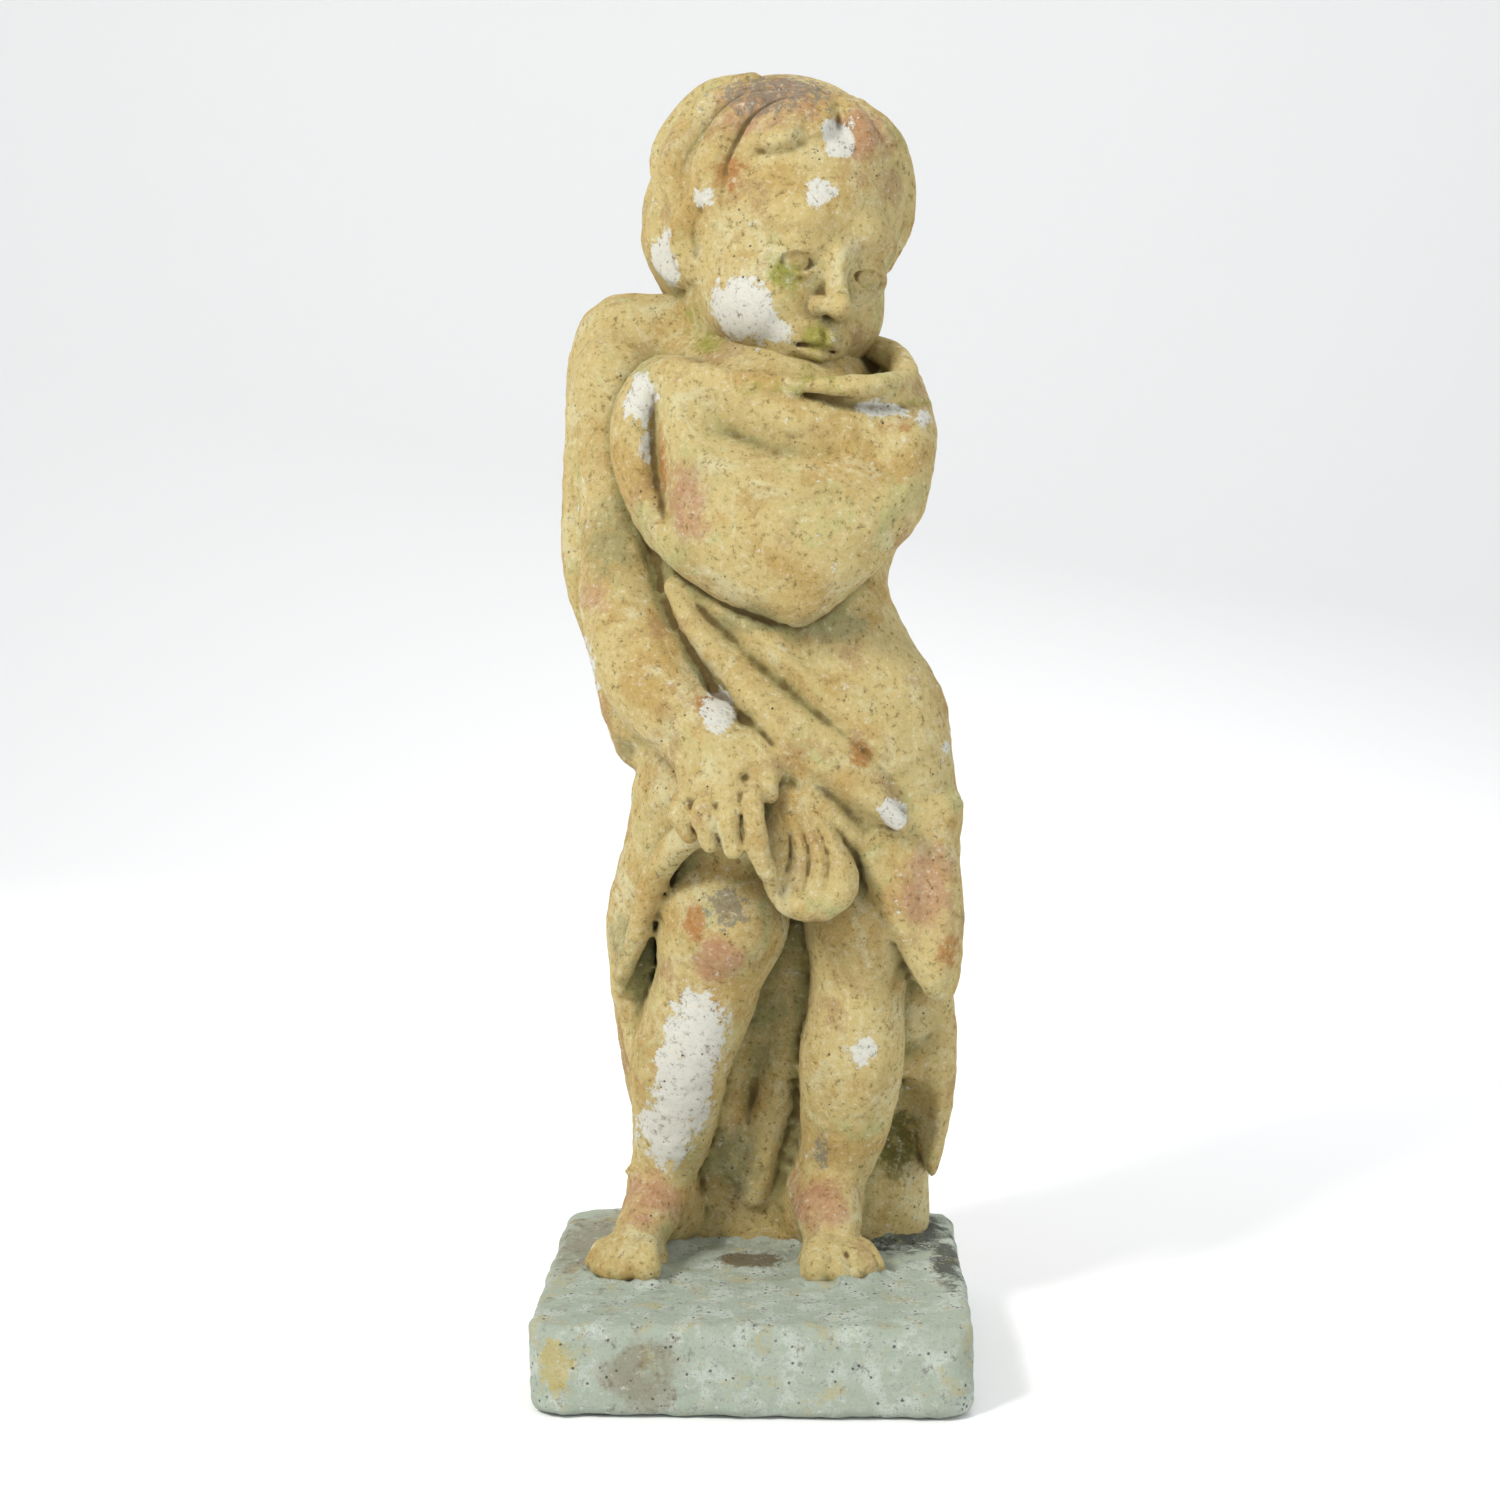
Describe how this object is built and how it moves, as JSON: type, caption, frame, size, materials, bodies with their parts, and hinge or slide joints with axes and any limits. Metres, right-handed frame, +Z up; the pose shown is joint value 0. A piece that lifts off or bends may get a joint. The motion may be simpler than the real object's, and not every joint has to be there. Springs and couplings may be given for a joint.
{
  "type": "stone putto statue",
  "caption": "Weathered stone child figure wrapped in a hooded cloak, standing bare-legged on a square stone plinth, for a garden or terrace.",
  "frame": {"origin": "middle of the plinth's underside", "axes": "+Z up, along the figure's height; the figure and the plinth's front face -Y; the figure's own right side is at -X"},
  "size_m": [0.254, 0.254, 0.7741],
  "materials": {
    "figure_stone": "buff limestone, eroded and pitted, with white lichen, ochre and pink stains and green algae in its hollows",
    "plinth_stone": "grey-green cast stone, rough on its sides, its top dark with weather, with mortar round the feet"
  },
  "bodies": {
    "root": {"plinth": "plinth_stone", "putto": "figure_stone"}
  },
  "joints": []
}
